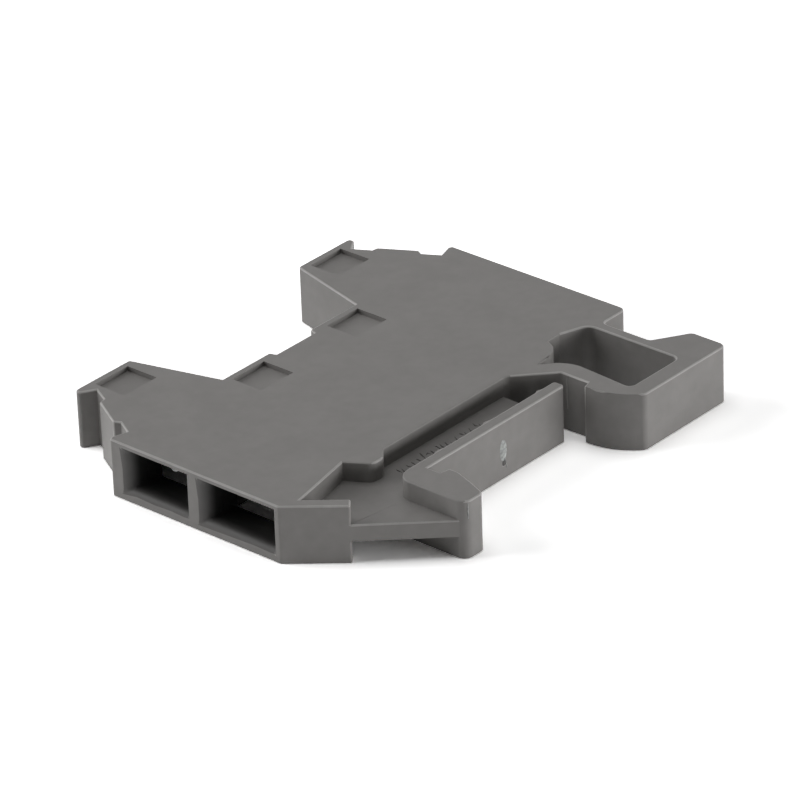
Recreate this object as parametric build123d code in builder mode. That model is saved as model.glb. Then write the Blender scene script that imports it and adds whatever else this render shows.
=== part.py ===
from build123d import *
from math import sqrt
import os

# Double-level terminal block for a 15 mm rail, lying on its open side.
# X runs across the rail, Y away from the rail and Z along it.
# Origin: rail centre line, rail seat and open side. Sizes are millimetres.
os.makedirs("parts", exist_ok=True)

# Rail and pitch
pitch = 4.2
rail_width = 15.0
rail_play = 0.05
rail_slot = 1.05

# Wire entry faces, the same left and right
face_reach = 17.15
face_top = 18.8
face_foot = 4.2

# Towers, and the valley between them
tower_top = 25.15
tower_lean = 1.78
valley_half = 6.67
shelf_height = 18.42
channel_half = 1.9
channel_drop = 0.5
channel_ramp = 0.15

# Snap groove under the tower's lip, and the slope below it
lip_height = 0.45
groove_top = 1.1
groove_depth = 0.98
groove_low = 22.8
tooth_width = 0.46
tooth_fall = 0.06
slope_rise = 0.15
slope_run = 1.42
slope_low = 20.2

# Notch between the slope and the wire entry face
notch_depth = 0.25
notch_top = 19.75
notch_low = 18.55
notch_run = 0.43
cheek_run = 1.1
cheek_width = 0.32
cheek_top = 18.88

# Marker pockets, blind in the closed side
marker_width = 3.12
marker_height = 2.6
marker_depth = 0.35
marker_rim = 0.5
shelf_margin = 0.39
tower_margin = 0.69

# Walls and chambers
skin = 0.7
wall = 0.65
divider = 0.5
rib = 0.8
core_half = 4.6
sole = 4.8
well_depth = 0.35

# Wire mouths
mouth_foot = 4.57
mouth_top = 17.95
mouth_lintel = 0.33
mouth_sill = 0.42
mouth_depth = 2.9
mouth_flare = 0.9
mouth_rise = 0.35
mouth_run = 0.15
divider_lip = 0.2

# Foot: rail bar, hook, web and guard wall
bar_thickness = 0.88
bar_gap = 1.25
body_foot = 3.85
hook_depth = 4.92
hook_width = 2.15
hook_lip = 0.75
hook_lip_taper = 0.2
hook_lip_edge = 0.9
hook_toe = 1.8
hook_bow = 0.05
web_low = 1.6
web_high = 2.8
web_setback = 0.3
web_bite = 0.45
web_inset = 0.05
guard_wall = 0.88
guard_run = 2.85
guard_foot = 0.64
recess_run = 1.5
recess_foot = 3.7
recess_crest = 0.6
bulge_inset = 0.9
bulge_half = 0.5
bulge_slope = 0.95
bulge_foot = 3.07

# Latch: arm, nose, loop and release tab
arm_thickness = 1.4
arm_waist = 1.15
arm_belly = 0.6
arm_top = 1.3
arm_run = 2.65
nose_reach = 0.6
nose_top = 0.95
nose_drop = 0.17
nose_flank = 1.0
latch_depth = 4.97
latch_floor = 1.37
loop_setback = 2.55
loop_arm = 0.8
loop_shoulder = 3.5
loop_corner = 4.03
loop_start = 2.75
loop_crest = 1.3
loop_top = 4.8
loop_tip = 3.2
loop_nose = 2.17
loop_nose_foot = 3.75
loop_neck = 0.91
loop_neck_foot = 3.33
tab_length = 2.55
tab_top = 2.1
tab_root = 0.5

# Current strips
strip_width = 2.7
strip_thickness = 0.8
strip_gap = 0.25
tongue_width = 1.6
tongue_length = 2.1
tongue_radius = 0.4
slot_play = 0.04
jumper_hole = 1.4
grip_width = 0.3
grip_pitch = 0.55

# Cage clamp springs
spring_width = 2.5
spring_thickness = 0.3
spring_length = 5.6
spring_height = 2.85
clamp_setback = 1.05
shoulder_height = 1.55
bow_flat = 0.15
bend_radius = 0.5
foot_gap = 1.5
window_width = 1.8
window_run = 1.3
stirrup = 0.75
clamp_travel = 1.5
stirrup_room = 0.15
loop_room = 0.18

# Corner radii of the moulding
tower_radius = 0.3
lip_radius = 0.25
face_radius = 0.25
guard_radius = 0.15
bulge_radius = 0.7
bar_radius = 0.25
hook_radius = 0.7
toe_radius = 0.5
heel_radius = 1.2
arm_root_radius = 0.8
arm_radius = 0.3
nose_radius = 0.6
root_radius = 0.4
foot_radius = 0.5
tab_radius = 0.5
loop_radius = 0.5
loop_far_radius = 0.9

# Places that follow from the sizes above
cheek_reach = face_reach - cheek_width
notch_reach = cheek_reach - cheek_run
slope_end = notch_reach - notch_run
slope_start = slope_end - slope_run
tower_outer = slope_start - slope_rise
tower_inner = valley_half + tower_lean
shelf_marker = valley_half - shelf_margin - marker_width / 2
tower_marker = tower_inner + tower_margin + marker_width / 2
guard_end = face_reach - guard_run
recess_start = face_reach - recess_run
latch_face = rail_width / 2 + rail_play
latch_root = latch_face - arm_run
bar_reach = latch_face - bar_gap
web_reach = latch_root - web_setback
hook_back = latch_face + hook_width
web_corner = hook_radius * (1 - sqrt(1 / 2)) + web_inset
recess_peak = hook_back + recess_crest
bulge_reach = hook_back - bulge_inset
loop_reach = face_reach - loop_setback
tab_reach = loop_reach + tab_length
floor = sole + wall
ceiling = pitch - skin
throat = face_reach - mouth_depth
clamp_reach = throat - clamp_setback
strip_reach = throat - strip_gap
lower_strip = floor - well_depth + stirrup_room + clamp_travel + stirrup
divider_foot = lower_strip + strip_thickness + spring_height + loop_room
divider_top = divider_foot + divider
upper_strip = divider_top + stirrup_room + clamp_travel + stirrup
strip_middle = ceiling - strip_width / 2
bow_radius = spring_height / 2 - bow_flat
strip_feet = {"lower": lower_strip, "upper": upper_strip}
mouth_spans = (
    (mouth_foot, floor, divider_foot),
    (divider_top + divider_lip, divider_top, mouth_top),
)


# Nearest vertices of a sketch to some points of its outline
def corners(sketch, *points):
    return [sketch.vertices().sort_by_distance(point)[0] for point in points]


# Plan of the body and towers, the same left and right
with BuildSketch() as outline:
    with BuildLine():
        Polyline(
            (0, sole),
            (0, shelf_height - channel_drop),
            (channel_half, shelf_height - channel_drop),
            (channel_half + channel_ramp, shelf_height),
            (valley_half, shelf_height),
            (tower_inner, tower_top),
            (tower_outer, tower_top),
            (tower_outer, tower_top - lip_height),
            (tower_outer - groove_depth, tower_top - groove_top),
            (slope_start - tooth_width, groove_low),
            (slope_start, groove_low - tooth_fall),
            (slope_end, slope_low),
            (slope_end - notch_depth, notch_top),
            (notch_reach, notch_low),
            (cheek_reach, cheek_top),
            (face_reach, face_top),
            (face_reach, sole),
            close=True,
        )
    make_face()
    mirror(about=Plane.YZ)

# One wire mouth for each level, flared like a bell towards the entry face
mouths = []
for foot, throat_foot, top in mouth_spans:
    with BuildPart() as mouth:
        with BuildSketch():
            with BuildLine():
                Spline(
                    (face_reach, top),
                    (throat, top - mouth_flare),
                    tangents=((0, -1), (-1, 0)),
                )
                Polyline(
                    (throat, top - mouth_flare),
                    (throat - rib, top - mouth_flare),
                    (throat - rib, throat_foot + mouth_run),
                    (throat, throat_foot + mouth_run),
                    (face_reach, foot),
                    (face_reach + rib, foot),
                    (face_reach + rib, top),
                    (face_reach, top),
                )
            make_face()
        extrude(amount=pitch)
        with BuildSketch(Plane.XZ):
            with BuildLine():
                Spline(
                    (face_reach, mouth_sill),
                    (throat, mouth_sill + mouth_rise),
                    tangents=((0, 1), (-1, 0)),
                )
                Polyline(
                    (throat, mouth_sill + mouth_rise),
                    (throat - rib, mouth_sill + mouth_rise),
                    (throat - rib, ceiling),
                    (throat, ceiling),
                    (face_reach, pitch - mouth_lintel),
                    (face_reach + rib, pitch - mouth_lintel),
                    (face_reach + rib, mouth_sill),
                    (face_reach, mouth_sill),
                )
            make_face()
        extrude(amount=-tower_top, mode=Mode.INTERSECT)
    mouths.append(mouth.part)

# Housing: a one-piece moulding, closed on one side and open on the other
with BuildPart() as housing:
    # Body and towers
    with BuildSketch() as body:
        add(outline.sketch)
        fillet(body.vertices().group_by(Axis.Y)[-1], tower_radius)
        lips = ((tower_outer, tower_top - lip_height), (-tower_outer, tower_top - lip_height))
        fillet(corners(body, *lips), lip_radius)
        fillet(corners(body, (face_reach, face_top), (-face_reach, face_top)), face_radius)
    extrude(amount=pitch)

    # Underside of the body, over the recess in the foot
    with BuildSketch() as underside:
        with BuildLine():
            Polyline(
                (-face_reach, floor),
                (-face_reach, face_foot),
                (-recess_start, recess_foot),
                (-recess_peak, sole),
                (-bulge_reach - bulge_half, bulge_foot),
                (-bulge_reach + bulge_half, bulge_foot),
                (-bulge_reach + bulge_half + bulge_slope, body_foot),
                (0, body_foot),
                (0, floor),
                close=True,
            )
        make_face()
        fillet(underside.vertices().group_by(Axis.Y)[0], bulge_radius)
    extrude(amount=pitch)

    # Guard wall, which carries on the slope of the body's corner
    with BuildSketch() as guard:
        with BuildLine():
            Line((-face_reach, face_foot), (-guard_end, guard_foot))
            offset(amount=guard_wall, side=Side.LEFT)
        make_face()
        fillet(guard.vertices().sort_by(Axis.Y)[:2], guard_radius)
    extrude(amount=pitch)

    # Rail bar and hook
    with BuildSketch() as hook:
        with BuildLine():
            Polyline(
                (-hook_back, bar_thickness),
                (bar_reach, bar_thickness),
                (bar_reach, 0),
                (-latch_face, 0),
                (-latch_face, -rail_slot),
                (-latch_face + hook_lip, -rail_slot - hook_lip_taper),
                (-latch_face + hook_lip, -rail_slot - hook_lip_edge),
            )
            SagittaArc(
                (-latch_face + hook_lip, -rail_slot - hook_lip_edge),
                (-hook_back + hook_toe, -hook_depth),
                hook_bow,
            )
            Polyline(
                (-hook_back + hook_toe, -hook_depth),
                (-hook_back, -hook_depth),
                (-hook_back, bar_thickness),
            )
        make_face()
        fillet(corners(hook, (bar_reach, 0), (bar_reach, bar_thickness)), bar_radius)
        fillet(corners(hook, (-hook_back, -hook_depth)), hook_radius)
        fillet(corners(hook, (-hook_back + hook_toe, -hook_depth)), toe_radius)
        fillet(corners(hook, (-hook_back, bar_thickness)), heel_radius)
    extrude(amount=pitch)

    # Latch: the arm under the body ends in a nose and closes into a loop with a release tab
    with BuildSketch() as latch:
        with BuildLine():
            Polyline(
                (latch_face + nose_flank, -latch_depth),
                (tab_reach, -latch_depth),
                (tab_reach, -tab_top),
                (loop_reach, -tab_root),
                (loop_reach, loop_shoulder),
                (face_reach, loop_shoulder),
                (face_reach, floor),
                (0, floor),
                (0, body_foot),
                (latch_root, body_foot),
                (latch_face, arm_top),
                (latch_face, -nose_top),
                (latch_face - nose_reach, -nose_top - nose_drop),
            )
            Spline(
                (latch_face - nose_reach, -nose_top - nose_drop),
                (latch_face + nose_flank, -latch_depth),
                tangents=((0, -1), (1, -1)),
            )
        make_face()
        fillet(corners(latch, (tab_reach, -latch_depth), (tab_reach, -tab_top)), tab_radius)
        fillet(corners(latch, (loop_reach, -tab_root), (loop_reach, loop_shoulder)), root_radius)
        fillet(corners(latch, (face_reach, loop_shoulder)), foot_radius)
        fillet(corners(latch, (latch_root, body_foot)), arm_root_radius)
        fillet(corners(latch, (latch_face, arm_top)), arm_radius)
        with BuildLine():
            FilletPolyline(
                (latch_face + arm_thickness, arm_belly),
                (latch_face + arm_waist, -latch_depth + latch_floor),
                (loop_reach - loop_arm, -latch_depth + latch_floor),
                (loop_reach - loop_arm, loop_corner),
                (latch_face + loop_start + loop_crest, loop_top),
                (latch_face + loop_start, loop_top),
                radius=(loop_radius, loop_radius, loop_far_radius, loop_radius),
            )
            Spline(
                (latch_face + loop_start, loop_top),
                (latch_face + loop_nose, loop_nose_foot),
                (latch_face + loop_neck, loop_neck_foot),
                (latch_face, loop_tip),
            )
            Spline(
                (latch_face, loop_tip),
                (latch_face + arm_thickness, arm_belly),
                tangents=((1, -1), (0, -1)),
            )
        make_face(mode=Mode.SUBTRACT)
    extrude(amount=pitch)

    # Web between the guard wall, the hook, the bar and the body
    with BuildSketch(Plane.XY.offset(web_low)) as web:
        with BuildLine():
            Polyline(
                (-guard_end, guard_foot),
                (-hook_back + web_corner, -hook_depth + web_corner),
                (-hook_back + web_bite, -hook_depth + web_bite),
                (-hook_back + web_bite, web_bite),
                (web_reach, web_bite),
                (web_reach, floor),
                (-face_reach, floor),
                (-face_reach, face_foot),
                close=True,
            )
        make_face()
    extrude(amount=web_high - web_low)

    # Rounded corners below the left entry face and below the latch nose
    uprights = housing.edges().filter_by(Axis.Z)
    fillet(uprights.sort_by_distance((-face_reach, face_foot, 0))[0], face_radius)
    fillet(uprights.sort_by_distance((latch_face + nose_flank, -latch_depth, 0))[0], nose_radius)

    # Chambers, open on the open side: one for each clamp and one core pocket for each level
    with BuildSketch() as chambers:
        add(outline.sketch)
        offset(amount=-wall, kind=Kind.INTERSECTION, mode=Mode.REPLACE)
        with Locations((0, (sole + tower_top) / 2)):
            Rectangle(2 * throat, tower_top - sole, mode=Mode.INTERSECT)
        with Locations((0, divider_foot + divider / 2)):
            Rectangle(2 * face_reach, divider, mode=Mode.SUBTRACT)
        with Locations((core_half + rib / 2, tower_top / 2), (-core_half - rib / 2, tower_top / 2)):
            Rectangle(rib, tower_top, mode=Mode.SUBTRACT)
        for strip_foot in strip_feet.values():
            slot = strip_thickness + 2 * slot_play
            with Locations((0, strip_foot + strip_thickness / 2)):
                Rectangle(2 * (core_half + rib), slot)
            well_foot = strip_foot - stirrup - clamp_travel - stirrup_room
            with GridLocations(2 * clamp_reach - spring_thickness, 0, 2, 1):
                with Locations((0, (well_foot + strip_foot) / 2)):
                    Rectangle(spring_thickness + 2 * loop_room, strip_foot - well_foot)
    extrude(amount=ceiling, mode=Mode.SUBTRACT)

    # Wire mouths in both entry faces
    for mouth_shape in mouths:
        add(mouth_shape, mode=Mode.SUBTRACT)
        add(mirror(mouth_shape, about=Plane.YZ, mode=Mode.PRIVATE), mode=Mode.SUBTRACT)

    # Marker pockets on the shelves and the towers
    with BuildSketch(Plane.XY.offset(pitch)) as markers:
        for reach, top in ((shelf_marker, shelf_height), (tower_marker, tower_top)):
            with Locations((reach, top - marker_rim), (-reach, top - marker_rim)):
                Rectangle(marker_width, marker_height, align=(Align.CENTER, Align.MAX))
    extrude(amount=-marker_depth, mode=Mode.SUBTRACT)

housing.part.label = "housing"
export_step(housing.part, "parts/housing.step")

# Current strips: flat copper bars with a narrow tongue at each end for the clamp
for level, strip_foot in strip_feet.items():
    with BuildPart() as current_strip:
        with BuildSketch(Plane.XZ.offset(-strip_foot)):
            with Locations((0, strip_middle)):
                Rectangle(2 * (strip_reach - tongue_length), strip_width)
                RectangleRounded(2 * strip_reach, tongue_width, tongue_radius)
                Circle(jumper_hole / 2, mode=Mode.SUBTRACT)
        extrude(amount=-strip_thickness)
        # Grip grooves across the clamping face of each tongue
        with BuildSketch(Plane.XY):
            with GridLocations(2 * (strip_reach - tongue_length / 2), 0, 2, 1):
                with GridLocations(grip_pitch, 0, 3, 1):
                    with Locations((0, strip_foot)):
                        RegularPolygon(grip_width / 2, 4)
        extrude(amount=pitch, mode=Mode.SUBTRACT)
    name = f"{level}_current_strip"
    current_strip.part.label = name
    export_step(current_strip.part, f"parts/{name}.step")

# Cage clamp springs: a bent strip whose window goes over the tongue of a current strip
for level, strip_foot in strip_feet.items():
    strip_top = strip_foot + strip_thickness
    for side, side_name in ((-1, "left"), (1, "right")):
        bend_plane = Plane(
            origin=(side * clamp_reach, strip_top, strip_middle),
            x_dir=(-side, 0, 0),
            z_dir=(0, 0, -side),
        )
        with BuildPart() as clamp_spring:
            with BuildSketch(bend_plane):
                with BuildLine():
                    FilletPolyline(
                        (foot_gap, 0),
                        (spring_length, 0),
                        (spring_length, spring_height),
                        (0, shoulder_height),
                        (0, -strip_thickness - stirrup),
                        radius=(bow_radius, bow_radius, bend_radius),
                    )
                    offset(amount=spring_thickness, side=Side.RIGHT)
                make_face()
            extrude(amount=spring_width / 2, both=True)
            with Locations(bend_plane):
                with Locations((0, -strip_thickness, 0)):
                    Box(
                        2 * window_run,
                        2 * (strip_thickness + spring_height),
                        window_width,
                        align=(Align.CENTER, Align.MIN, Align.CENTER),
                        mode=Mode.SUBTRACT,
                    )
        name = f"{level}_{side_name}_clamp_spring"
        clamp_spring.part.label = name
        export_step(clamp_spring.part, f"parts/{name}.step")
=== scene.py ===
import math
import bmesh
import bpy
from mathutils import Matrix, Vector, noise


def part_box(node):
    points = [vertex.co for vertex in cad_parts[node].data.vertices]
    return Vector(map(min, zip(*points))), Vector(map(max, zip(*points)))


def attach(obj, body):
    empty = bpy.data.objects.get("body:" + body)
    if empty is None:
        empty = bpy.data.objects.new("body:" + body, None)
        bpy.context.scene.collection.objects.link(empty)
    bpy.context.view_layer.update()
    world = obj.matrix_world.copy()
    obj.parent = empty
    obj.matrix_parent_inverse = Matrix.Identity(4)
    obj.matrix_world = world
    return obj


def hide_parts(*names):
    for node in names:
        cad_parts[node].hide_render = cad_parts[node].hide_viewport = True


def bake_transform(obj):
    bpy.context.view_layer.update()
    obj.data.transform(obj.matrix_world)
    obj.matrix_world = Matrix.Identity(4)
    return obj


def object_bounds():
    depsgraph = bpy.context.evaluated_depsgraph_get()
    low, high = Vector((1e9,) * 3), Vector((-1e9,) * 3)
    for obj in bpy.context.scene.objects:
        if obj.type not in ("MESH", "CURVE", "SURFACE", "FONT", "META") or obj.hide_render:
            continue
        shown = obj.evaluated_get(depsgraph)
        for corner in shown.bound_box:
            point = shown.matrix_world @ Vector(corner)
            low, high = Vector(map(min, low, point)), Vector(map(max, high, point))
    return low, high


# Double-level terminal block: edges and marks of the moulding, springs, strips, finishes and studio
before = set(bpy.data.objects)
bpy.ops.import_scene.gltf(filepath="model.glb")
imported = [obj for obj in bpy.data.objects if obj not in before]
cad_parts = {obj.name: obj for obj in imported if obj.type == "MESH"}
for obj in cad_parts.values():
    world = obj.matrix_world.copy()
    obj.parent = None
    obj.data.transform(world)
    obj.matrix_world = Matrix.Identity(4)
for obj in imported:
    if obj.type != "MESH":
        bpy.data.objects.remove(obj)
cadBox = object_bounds()
mm = 0.001
print("frame loaded:", len(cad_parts), "nodes")


# Colours and nodes
def linearColour(hexColour):
    parts = [int(hexColour[i:i + 2], 16) / 255 for i in (1, 3, 5)]
    return [c / 12.92 if c <= 0.04045 else ((c + 0.055) / 1.055) ** 2.4 for c in parts] + [1]


def addNode(tree, kind, inputs=None, **settings):
    node = tree.nodes.new(kind)
    for name, value in settings.items():
        setattr(node, name, value)
    for name, value in (inputs or {}).items():
        if isinstance(value, bpy.types.NodeSocket):
            tree.links.new(value, node.inputs[name])
        else:
            node.inputs[name].default_value = value
    return node


def startMaterial(name):
    material = bpy.data.materials.new(name)
    material.use_nodes = True
    material.node_tree.nodes.clear()
    return material, material.node_tree


# Polyamide 66, filled grey and injection moulded. The tool was spark-eroded, so it is matt with a fine
# pitted grain, and the melt leaves clouds too weak to see as a pattern.
mouldedPolyamide = {
    "dark": "#7b7977", "light": "#82807e",
    "cloudSize": 4.0 * mm, "mottleSize": 0.9 * mm,
    "cloudSpan": (0.75, 1.25), "mottleSpan": (0.3, 0.7),   # values of the noise over which it acts
    "grainSize": 0.09 * mm, "grainDepth": 0.004 * mm,   # the pits are 0.03 mm wide, drawn coarser to show
    "waveSize": 1.8 * mm, "waveDepth": 0.0015 * mm,
    "roughness": (0.48, 0.54), "ior": 1.53, "specular": 0.3,
}

# The same polyamide on the moulding's small radii, which the tool's polished edges leave smoother; its
# paler colour is a painted highlight where the edges catch the lamps
edgeHighlightLook = dict(mouldedPolyamide, dark="#999795", light="#a4a2a0", roughness=(0.36, 0.46))

# The same polyamide inside the wire mouths, drawn darker inwards: the photo has them in deep shade, where
# walls still catch light at the rim and floors don't
mouthPolyamide = dict(mouldedPolyamide, shade=0.04, wallRim=0.5, floorRim=0.25,
                      shadeReach=(16.25 * mm, 17.15 * mm))

# The same polyamide darkened as painted shade, for the pit where the gate tore out
# and for the scores on the web
pitShadeLook = dict(mouldedPolyamide, dark="#454443", light="#565553", mottleSize=0.2 * mm)

# The same polyamide where it was torn or stretched: it turns whitish and shines a little
stressedPolyamide = dict(mouldedPolyamide, dark="#8f9190", light="#aeb1af", cloudSize=0.5 * mm,
                         mottleSize=0.2 * mm, roughness=(0.22, 0.34))


def makePolyamide(name, look):
    material, tree = startMaterial(name)
    place = addNode(tree, "ShaderNodeTexCoord").outputs["Object"]
    clouds = addNode(tree, "ShaderNodeTexNoise", {
        "Vector": place, "Scale": 1 / look["cloudSize"], "Detail": 3}).outputs["Fac"]
    mottle = addNode(tree, "ShaderNodeTexNoise", {
        "Vector": place, "Scale": 1 / look["mottleSize"], "Detail": 2}).outputs["Fac"]
    wave = addNode(tree, "ShaderNodeTexNoise", {
        "Vector": place, "Scale": 1 / look["waveSize"], "Detail": 1}).outputs["Fac"]
    grain = addNode(tree, "ShaderNodeTexNoise", {
        "Vector": place, "Scale": 1 / look["grainSize"], "Detail": 3}).outputs["Fac"]
    both = addNode(tree, "ShaderNodeMath", {0: clouds, 1: mottle}, operation="ADD")
    share = addNode(tree, "ShaderNodeMapRange", {
        "Value": both.outputs[0], "From Min": look["cloudSpan"][0], "From Max": look["cloudSpan"][1]})
    surface = addNode(tree, "ShaderNodeMix", {
        0: share.outputs[0], 6: linearColour(look["dark"]), 7: linearColour(look["light"])},
        data_type="RGBA").outputs[2]
    gloss = addNode(tree, "ShaderNodeMapRange", {
        "Value": mottle, "From Min": look["mottleSpan"][0], "From Max": look["mottleSpan"][1],
        "To Min": look["roughness"][0], "To Max": look["roughness"][1]})
    soft = addNode(tree, "ShaderNodeBump", {"Height": wave, "Distance": look["waveDepth"]})
    fine = addNode(tree, "ShaderNodeBump", {
        "Height": grain, "Distance": look["grainDepth"], "Normal": soft.outputs[0]})
    if "shade" in look:
        across = addNode(tree, "ShaderNodeSeparateXYZ", {0: place}).outputs["X"]
        outwards = addNode(tree, "ShaderNodeMath", {0: across}, operation="ABSOLUTE")
        normal = addNode(tree, "ShaderNodeTexCoord").outputs["Normal"]
        facing = addNode(tree, "ShaderNodeSeparateXYZ", {0: normal}).outputs["Z"]
        rim = addNode(tree, "ShaderNodeMapRange", {
            "Value": facing, "To Min": look["wallRim"], "To Max": look["floorRim"]})
        shade = addNode(tree, "ShaderNodeMapRange", {
            "Value": outwards.outputs[0],
            "From Min": look["shadeReach"][0], "From Max": look["shadeReach"][1],
            "To Min": look["shade"], "To Max": rim.outputs[0]})
        surface = addNode(tree, "ShaderNodeMix", {0: 1.0, 6: surface, 7: shade.outputs[0]},
                          data_type="RGBA", blend_type="MULTIPLY").outputs[2]
    shader = addNode(tree, "ShaderNodeBsdfPrincipled", {
        "Base Color": surface, "Roughness": gloss.outputs[0], "IOR": look["ior"],
        "Specular IOR Level": look["specular"], "Normal": fine.outputs[0]})
    addNode(tree, "ShaderNodeOutputMaterial", {"Surface": shader.outputs[0]})
    return material


# Stainless spring steel, cold rolled and tempered, with fine lines along the strip; its grey is darker than
# bare steel, as painted shade of the housing's inside
shadedSpringSteelLook = {
    "dark": "#5d5b58", "light": "#83817d", "lineWidth": 0.05 * mm, "lineLength": 3.0 * mm,
    "lineDepth": 0.002 * mm, "roughness": (0.24, 0.38),
}

# Copper with a matt tin plating: warm grey, softly blotched by the plating's crystals, and darker than
# bare tin as painted shade of the housing's inside
shadedTinnedCopper = {
    "dark": "#8f8d88", "light": "#b1afa9", "lineWidth": 0.35 * mm, "lineLength": 0.5 * mm,
    "lineDepth": 0.003 * mm, "roughness": (0.32, 0.5),
}


def makeMetal(name, look):
    material, tree = startMaterial(name)
    place = addNode(tree, "ShaderNodeTexCoord").outputs["Object"]
    scale = (1 / look["lineLength"], 1 / look["lineWidth"], 1 / look["lineWidth"])
    along = addNode(tree, "ShaderNodeMapping", {"Vector": place, "Scale": scale})
    lines = addNode(tree, "ShaderNodeTexNoise", {
        "Vector": along.outputs[0], "Scale": 1, "Detail": 3}).outputs["Fac"]
    colour = addNode(tree, "ShaderNodeMix", {
        0: lines, 6: linearColour(look["dark"]), 7: linearColour(look["light"])}, data_type="RGBA")
    gloss = addNode(tree, "ShaderNodeMapRange", {
        "Value": lines, "To Min": look["roughness"][0], "To Max": look["roughness"][1]})
    bump = addNode(tree, "ShaderNodeBump", {"Height": lines, "Distance": look["lineDepth"]})
    shader = addNode(tree, "ShaderNodeBsdfPrincipled", {
        "Base Color": colour.outputs[2], "Roughness": gloss.outputs[0], "Metallic": 1.0,
        "Normal": bump.outputs[0]})
    addNode(tree, "ShaderNodeOutputMaterial", {"Surface": shader.outputs[0]})
    return material


greyPolyamide = makePolyamide("moulded polyamide 66, grey", mouldedPolyamide)
highlightPolyamide = makePolyamide("moulded polyamide 66, painted edge highlight", edgeHighlightLook)
shadedPolyamide = makePolyamide("moulded polyamide 66, in the mouths", mouthPolyamide)
whitenedPolyamide = makePolyamide("stress-whitened polyamide 66", stressedPolyamide)
pitShadePolyamide = makePolyamide("torn polyamide 66", pitShadeLook)
shadedSpringSteel = makeMetal("cold-rolled stainless spring steel", shadedSpringSteelLook)
shadedTinPlate = makeMetal("tin-plated copper", shadedTinnedCopper)
print("materials made")


# A merged copy of a CAD node, with its flat faces whole again
def copyOfNode(name, sameWithin=0.0001 * mm, flatWithin=0.5):
    bm = bmesh.new()
    bm.from_mesh(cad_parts[name].data)
    bmesh.ops.remove_doubles(bm, verts=bm.verts, dist=sameWithin)
    bmesh.ops.dissolve_limit(bm, angle_limit=math.radians(flatWithin), verts=bm.verts, edges=bm.edges,
                             delimit={"NORMAL"})
    return bm


def roundEdges(bm, edges, width, segments):
    made = bmesh.ops.bevel(bm, geom=edges, offset=width, offset_type="OFFSET", segments=segments,
                           profile=0.5, affect="EDGES", clamp_overlap=False, material=-1)
    return made["faces"]


def convexEdges(bm, sharperThan):
    limit = math.radians(sharperThan)
    return [e for e in bm.edges if len(e.link_faces) == 2 and e.calc_face_angle_signed(0) > limit]


def finishPiece(bm, name, slot, *materials, smoothUpTo=32):
    mesh = bpy.data.meshes.new(name)
    bm.to_mesh(mesh)
    bm.free()
    mesh.shade_smooth()
    mesh.set_sharp_from_angle(angle=math.radians(smoothUpTo))
    for material in materials:
        mesh.materials.append(material)
    piece = bpy.data.objects.new(name, mesh)
    bpy.context.scene.collection.objects.link(piece)
    return piece


# Moulded housing: the node's own shape with the small radii of a tool's edges
mouldedHousing = {
    "topEdge": 0.11 * mm, "topSegments": 3,
    "openEdge": 0.05 * mm, "openSegments": 1,
    "sharperThan": 38,   # degrees
    "sameHeight": 0.005 * mm,
    "webTop": 2.8 * mm,
    "shallow": 1.0 * mm, "wallTilt": 0.5,   # walls less deep are the marker pockets', whose rims stay sharp
    "sharpRim": {"left": -11.0 * mm, "right": 11.0 * mm, "foot": 4.7 * mm, "head": 5.6 * mm},
    "rimsWithoutHighlight": (   # the foot recess's rim and the hook's back get no painted highlight
        {"left": -12.0 * mm, "right": 12.0 * mm, "foot": 3.2 * mm, "head": 5.6 * mm},
        {"left": -10.2 * mm, "right": -8.7 * mm, "foot": -4.7 * mm, "head": 1.1 * mm},
    ),
    # corners of the space that holds the mouths' shaded faces, on both sides
    "mouthFrom": (14.2 * mm, 4.57 * mm, 0.38 * mm), "mouthTo": (17.14 * mm, 17.95 * mm, 3.9 * mm),
}


def isWithin(point, area):
    return area["left"] < point.x < area["right"] and area["foot"] < point.y < area["head"]


def makeHousing(look):
    bm = copyOfNode("housing")
    low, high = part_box("housing")
    near, web = look["sameHeight"], look["webTop"]

    # Edges seen from outside: on the closed side, on the web and upright between the two and the open side
    def isOuter(edge):
        foot, head = sorted(v.co.z for v in edge.verts)
        onWeb = abs(foot - web) < near and abs(head - web) < near
        upright = head > high.z - near or (foot < low.z + near and head < web + near)
        return onWeb or foot > high.z - near or (upright and head - foot > near)

    def isPocketRim(edge):
        walls = [f for f in edge.link_faces if abs(f.normal.z) < look["wallTilt"]]
        return any(min(v.co.z for v in wall.verts) > high.z - look["shallow"] for wall in walls)

    def staysSharp(edge):
        return isPocketRim(edge) or all(isWithin(v.co, look["sharpRim"]) for v in edge.verts)

    def isInMouth(face):
        x, y, z = face.calc_center_median()
        return all(a < v < b for a, v, b in zip(look["mouthFrom"], (abs(x), y, z), look["mouthTo"]))

    edges = [e for e in convexEdges(bm, look["sharperThan"]) if isOuter(e) and not staysSharp(e)]
    # rounded top edges get the paler polyamide as a painted highlight, except on the rims without highlight
    for face in roundEdges(bm, edges, look["topEdge"], look["topSegments"]):
        hasNoHighlight = any(isWithin(face.calc_center_median(), area) for area in look["rimsWithoutHighlight"])
        face.material_index = 0 if hasNoHighlight else 1
    rim = [e for e in convexEdges(bm, look["sharperThan"]) if max(v.co.z for v in e.verts) < low.z + near]
    roundEdges(bm, rim, look["openEdge"], look["openSegments"])
    for face in bm.faces:
        if isInMouth(face):
            face.material_index = 2
    for vert in bm.verts:
        vert.co.z = min(vert.co.z, high.z)   # a rounded edge can end a rounding error above the top
    housing = finishPiece(bm, "housing_moulding", "housing_plastic",
                          greyPolyamide, highlightPolyamide, shadedPolyamide)
    evenOut = housing.modifiers.new("even shading", "WEIGHTED_NORMAL")   # flat faces shade flat
    evenOut.keep_sharp = True
    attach(housing, "block")
    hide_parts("housing")


makeHousing(mouldedHousing)
print("housing made")


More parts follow.
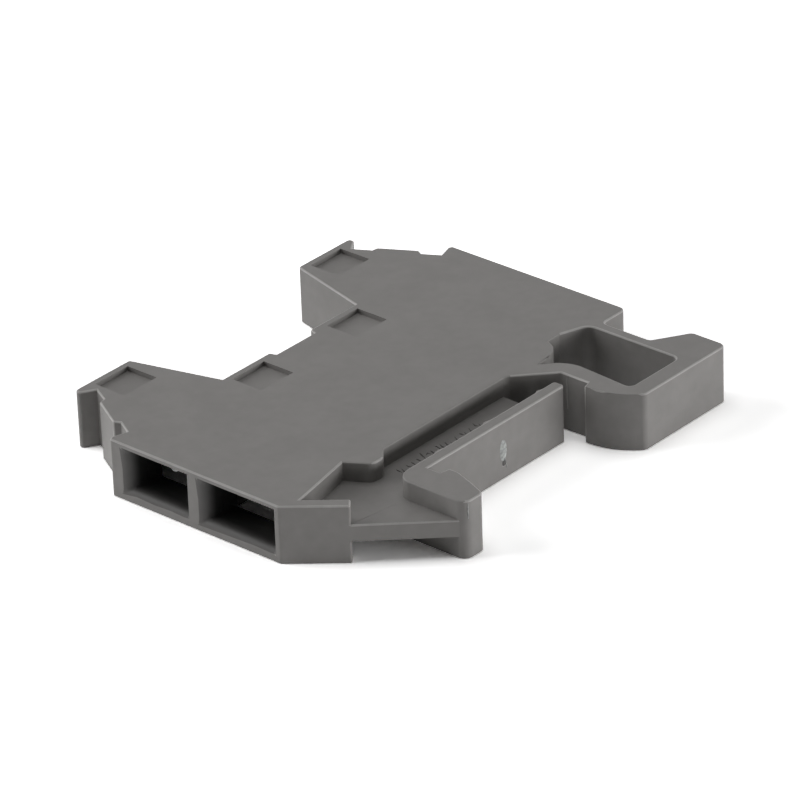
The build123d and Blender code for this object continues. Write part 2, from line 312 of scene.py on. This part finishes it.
# Clamp springs: foot with bow and upper arm with stirrup are two pieces of one strip, cut where the upper
# arm leaves the bow, and the foot stays on the current strip
clampSpring = {
    "edge": 0.03 * mm, "edgeSegments": 1, "sharperThan": 50,
    "bow": 1.2 * mm,    # from the inner end to the cut
    "bend": 0.6 * mm,   # from the outer end to the arm's bend
    "armCuts": 6,
}


def cutAcross(bm, x):
    bmesh.ops.bisect_plane(bm, geom=bm.verts[:] + bm.edges[:] + bm.faces[:],
                           plane_co=(x, 0, 0), plane_no=(1, 0, 0))


# Faces beyond the cut that hang together with the highest of them: the upper arm and its stirrup
def armFaces(bm, x, outwards):
    beyond = {f for f in bm.faces if outwards * (f.calc_center_median().x - x) > 0}
    found = {max(beyond, key=lambda f: f.calc_center_median().y)}
    fresh = list(found)
    while fresh:
        for edge in fresh.pop().edges:
            joined = beyond.intersection(edge.link_faces) - found
            found |= joined
            fresh += joined
    return found


def makeSpring(level, side, look):
    node = f"{level}_{side}_clamp_spring"
    low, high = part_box(node)
    outwards = -1 if side == "left" else 1
    inner, outer = (high.x, low.x) if side == "left" else (low.x, high.x)
    start, end = inner + outwards * look["bow"], outer - outwards * look["bend"]
    for part in ("foot", "arm"):
        bm = copyOfNode(node)
        for cut in range(look["armCuts"]):
            cutAcross(bm, start + (end - start) * cut / look["armCuts"])
        arm = armFaces(bm, start, outwards)
        unwanted = arm if part == "foot" else set(bm.faces) - arm
        bmesh.ops.delete(bm, geom=list(unwanted), context="FACES")
        bmesh.ops.holes_fill(bm, edges=[e for e in bm.edges if e.is_boundary], sides=0)
        roundEdges(bm, convexEdges(bm, look["sharperThan"]), look["edge"], look["edgeSegments"])
        piece = finishPiece(bm, f"{node}_{part}", "spring_steel", shadedSpringSteel)
        if part == "foot":
            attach(piece, "block")
        else:
            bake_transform(piece)
        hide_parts(node)


for level in ("lower", "upper"):
    for side in ("left", "right"):
        makeSpring(level, side, clampSpring)
    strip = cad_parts[f"{level}_current_strip"]
    strip.data.materials.clear()
    strip.data.materials.append(shadedTinPlate)
print("clamps and strips finished")


# Marks of the mould and of the torn gate, in millimetres. A patch is an oval on a face with its rim sunk
# in, a thread is a thin raised line that lies half in the face
barFlash = {
    "along": (0, 0, 0.09), "out": (0, 1, 0), "height": 0.24, "ripple": 0.5, "material": greyPolyamide,
}
patches = {
    "gate_scar": {
        "centre": (-0.04, 0, 2.10), "across": (0.37, 0, 0), "along": (0, 0, 0.84), "out": (0, -1, 0),
        "height": 0.09, "ripple": 0.25, "material": whitenedPolyamide},
    "gate_tear": {
        # dark as painted shade of the pit
        "centre": (0.02, 0, 1.20), "across": (0.24, 0, 0), "along": (0, 0, 0.30), "out": (0, -1, 0),
        "height": 0.03, "ripple": 0.9, "material": pitShadePolyamide},
    # the nub is paler as a painted highlight
    "recess_nub": {
        "centre": (9.38, 4.8, 1.91), "across": (0.10, 0, 0), "along": (0, 0, 0.28), "out": (0, -1, 0),
        "height": 0.05, "ripple": 0.3, "material": highlightPolyamide},
    "bar_flash_left": dict(barFlash, centre=(-5.3, 0.84, 4.06), across=(0.55, 0, 0)),
    "bar_flash_middle": dict(barFlash, centre=(-0.5, 0.84, 4.06), across=(0.6, 0, 0)),
    "bar_flash_right": dict(barFlash, centre=(4.8, 0.84, 4.06), across=(0.45, 0, 0)),
}
threads = {
    "gate_sliver": {
        "points": ((0.02, 0, 1.62), (0.06, -0.04, 1.46), (0.13, -0.02, 1.30)),
        "radius": 0.045, "material": whitenedPolyamide},
    "gate_tail": {
        "points": ((0.22, 0, 1.08), (0.25, -0.01, 0.88), (0.24, 0, 0.70)),
        "radius": 0.03, "material": whitenedPolyamide},
    # the hem and the witness line are paler as a painted highlight
    "gate_hem": {
        "points": ((-0.20, 0, 0.98), (0.0, -0.01, 0.94), (0.20, 0, 0.98)),
        "radius": 0.025, "material": highlightPolyamide},
    "arm_witness_line": {
        "points": ((7.55, 0.8, 4.13), (7.55, 0.8, 3.0), (7.55, 0.8, 1.6)),
        "radius": 0.05, "material": highlightPolyamide},
    "hook_flash": {
        "points": ((-9.30, -4.85, 4.08), (-9.32, -4.86, 3.5), (-9.30, -4.85, 2.9)),
        "radius": 0.04, "material": whitenedPolyamide},
    # dark as painted shade of the scores
    "web_scores": {
        "points": ((-7.3, 2.35, 2.8), (-7.34, 2.62, 2.8), (-7.28, 2.85, 2.8)),
        "radius": 0.05, "material": pitShadePolyamide,
        "copies": 18, "step": (0.48, 0, 0), "stray": (0.5, 0.6, 0)},
    "mouth_burr": {
        "points": ((-17.0, 12.85, 3.90), (-16.98, 13.05, 3.74), (-16.96, 13.3, 3.68), (-17.0, 13.5, 3.80)),
        "radius": 0.09, "material": whitenedPolyamide},
}
markShape = {
    "rings": 6, "spokes": 28, "middle": 0.001, "sink": 0.012 * mm, "grain": 0.12 * mm,   # of a patch
    "threadSides": 8, "tip": 0.4, "strayRate": 1.7,                                      # of a thread
    "smoothUpTo": 50,
}


def placeMark(bm, name, material, shape):
    bmesh.ops.holes_fill(bm, edges=[e for e in bm.edges if e.is_boundary], sides=0)
    bmesh.ops.recalc_face_normals(bm, faces=bm.faces)
    mark = finishPiece(bm, name, "housing_plastic", material, smoothUpTo=shape["smoothUpTo"])
    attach(mark, "block")


# A line of points spun to a disc of radius 1, then laid on the face as an oval and raised to a rough crown
def makePatch(name, look, shape):
    centre, across, along = (Vector(look[k]) * mm for k in ("centre", "across", "along"))
    out = Vector(look["out"]).normalized()
    bm = bmesh.new()
    spoke = [bm.verts.new((i / shape["rings"], 0, 0)) for i in range(shape["rings"] + 1)]
    spoke += [bm.edges.new(ends) for ends in zip(spoke, spoke[1:])]
    bmesh.ops.spin(bm, geom=spoke, cent=(0, 0, 0), axis=(0, 0, 1), angle=2 * math.pi,
                   steps=shape["spokes"], use_merge=True)
    bmesh.ops.remove_doubles(bm, verts=bm.verts, dist=shape["middle"])   # the spokes' inner ends
    for vert in bm.verts:
        reach = vert.co.length
        flat = centre + vert.co.x * across + vert.co.y * along
        rough = 1 + look["ripple"] * noise.noise(flat / shape["grain"])
        lift = look["height"] * mm * (1 - reach ** 2) * rough - shape["sink"] * reach
        vert.co = flat + lift * out
    placeMark(bm, name, look["material"], shape)


# Rings across the thread, thin at its ends, bridged to a tube
def addThread(bm, points, radius, shape):
    last = len(points) - 1
    rings = []
    for i, point in enumerate(points):
        heading = (points[min(i + 1, last)] - points[max(i - 1, 0)]).normalized()
        side = heading.orthogonal().normalized()
        turn = Matrix((side, heading.cross(side), heading)).transposed().to_4x4()
        reach = radius * (shape["tip"] if i in (0, last) else 1)
        ring = bmesh.ops.create_circle(bm, segments=shape["threadSides"], radius=reach,
                                       matrix=Matrix.Translation(point) @ turn)
        rings.append({edge for vert in ring["verts"] for edge in vert.link_edges})
    for ring, outer in zip(rings, rings[1:]):
        bmesh.ops.bridge_loops(bm, edges=list(ring | outer))


# One thread, or a row of them in which each one strays a little
def makeThread(name, look, shape):
    bm = bmesh.new()
    for copy in range(look.get("copies", 1)):
        points = [Vector(p) + copy * Vector(look.get("step", (0, 0, 0))) for p in look["points"]]
        if "stray" in look:
            points = [p + Vector(look["stray"]) * noise.noise(shape["strayRate"] * p) for p in points]
        addThread(bm, [p * mm for p in points], look["radius"] * mm, shape)
    placeMark(bm, name, look["material"], shape)


for name, look in patches.items():
    makePatch(name, look, markShape)
for name, look in threads.items():
    makeThread(name, look, markShape)
print("marks made")


# Studio: a pale floor and soft lamps, one above, two behind and one low in front on the right. The floor
# is seen brighter than it lights, so that it is white. Sizes in metres, power in watts, angles in degrees
studio = {
    "floorSize": 6.0, "floorBounce": 1.20, "floorSeen": 2.2,
    "skyColour": "#ffffff", "skyStrength": 0.03,
    "lampDistance": 0.55, "lampWidth": 0.40,
    "lamps": {
        "above": {"azimuth": 45, "elevation": 85, "height": 0.40, "power": 1.0},
        "behind left": {"azimuth": 124, "elevation": 25, "height": 0.40, "power": 1.72},
        "behind": {"azimuth": 92, "elevation": 11.5, "height": 0.20, "power": 0.4},
        "front right": {"azimuth": 297, "elevation": 6.5, "height": 0.11, "power": 2.03},
    },
}


def whiteToCamera(tree):
    ray = addNode(tree, "ShaderNodeLightPath")
    mirror = addNode(tree, "ShaderNodeMath", {
        0: ray.outputs["Is Glossy Ray"], 1: ray.outputs["Is Transmission Ray"]}, operation="MAXIMUM")
    return addNode(tree, "ShaderNodeMath", {
        0: ray.outputs["Is Camera Ray"], 1: mirror.outputs[0]}, operation="MAXIMUM").outputs[0]


def makeFloor(look):
    bm = bmesh.new()
    bmesh.ops.create_grid(bm, x_segments=1, y_segments=1, size=look["floorSize"] / 2)
    bmesh.ops.translate(bm, verts=bm.verts, vec=(0, 0, cadBox[0][2]))
    mesh = bpy.data.meshes.new("floor")
    bm.to_mesh(mesh)
    bm.free()
    floor = bpy.data.objects.new("floor", mesh)
    bpy.context.scene.collection.objects.link(floor)

    material, tree = startMaterial("pale studio floor")
    paleness = addNode(tree, "ShaderNodeMapRange", {
        "Value": whiteToCamera(tree), "To Min": look["floorBounce"], "To Max": look["floorSeen"]})
    surface = addNode(tree, "ShaderNodeBsdfDiffuse", {"Color": paleness.outputs[0]})
    addNode(tree, "ShaderNodeOutputMaterial", {"Surface": surface.outputs[0]})
    mesh.materials.append(material)


def makeSky(look):
    world = bpy.data.worlds.new("studio")
    world.use_nodes = True
    tree = world.node_tree
    tree.nodes.clear()
    strength = addNode(tree, "ShaderNodeMapRange", {
        "Value": whiteToCamera(tree), "To Min": look["skyStrength"]})
    sky = addNode(tree, "ShaderNodeBackground", {
        "Color": linearColour(look["skyColour"]), "Strength": strength.outputs[0]})
    addNode(tree, "ShaderNodeOutputWorld", {"Surface": sky.outputs[0]})
    bpy.context.scene.world = world


def makeLamps(look):
    middle = (Vector(cadBox[0]) + Vector(cadBox[1])) / 2
    for name, lamp in look["lamps"].items():
        data = bpy.data.lights.new(f"{name} lamp", "AREA")
        data.shape, data.energy = "RECTANGLE", lamp["power"]
        data.size, data.size_y = look["lampWidth"], lamp["height"]
        azimuth, elevation = math.radians(lamp["azimuth"]), math.radians(lamp["elevation"])
        towards = Vector((math.cos(azimuth) * math.cos(elevation), math.sin(azimuth) * math.cos(elevation),
                          math.sin(elevation)))
        turn = towards.to_track_quat("Z", "Y").to_matrix().to_4x4()
        holder = bpy.data.objects.new(f"{name} lamp", data)
        holder.matrix_world = Matrix.Translation(middle + towards * look["lampDistance"]) @ turn
        bpy.context.scene.collection.objects.link(holder)


makeFloor(studio)
makeSky(studio)
makeLamps(studio)

# Camera fitted to the photograph's straight edges: azimuth and elevation of where it stands, its tilt
photoCamera = {
    "azimuth": -48.380, "elevation": 28.486, "tilt": -2.076,
    "place": (-247.81 * mm, -211.35 * mm, 182.79 * mm),
    "lens": 258.65, "sensor": 36.0, "nearest": 0.01, "furthest": 20,
}


def makeCamera(look):
    azimuth, elevation, tilt = (math.radians(look[k]) for k in ("azimuth", "elevation", "tilt"))
    back = Vector((math.sin(azimuth) * math.cos(elevation), -math.cos(azimuth) * math.cos(elevation),
                   math.sin(elevation)))
    right = Vector((math.cos(azimuth), math.sin(azimuth), 0))
    turn = Matrix((right, back.cross(right), back)).transposed().to_4x4()
    data = bpy.data.cameras.new("photo camera")
    data.lens, data.sensor_width, data.sensor_fit = look["lens"], look["sensor"], "HORIZONTAL"
    data.clip_start, data.clip_end = look["nearest"], look["furthest"]
    camera = bpy.data.objects.new("photo camera", data)
    camera.matrix_world = Matrix.Translation(look["place"]) @ turn @ Matrix.Rotation(tilt, 4, "Z")
    bpy.context.scene.collection.objects.link(camera)
    bpy.context.scene.camera = camera


makeCamera(photoCamera)
bpy.context.scene.view_settings.view_transform = "Standard"
print("studio and camera set")
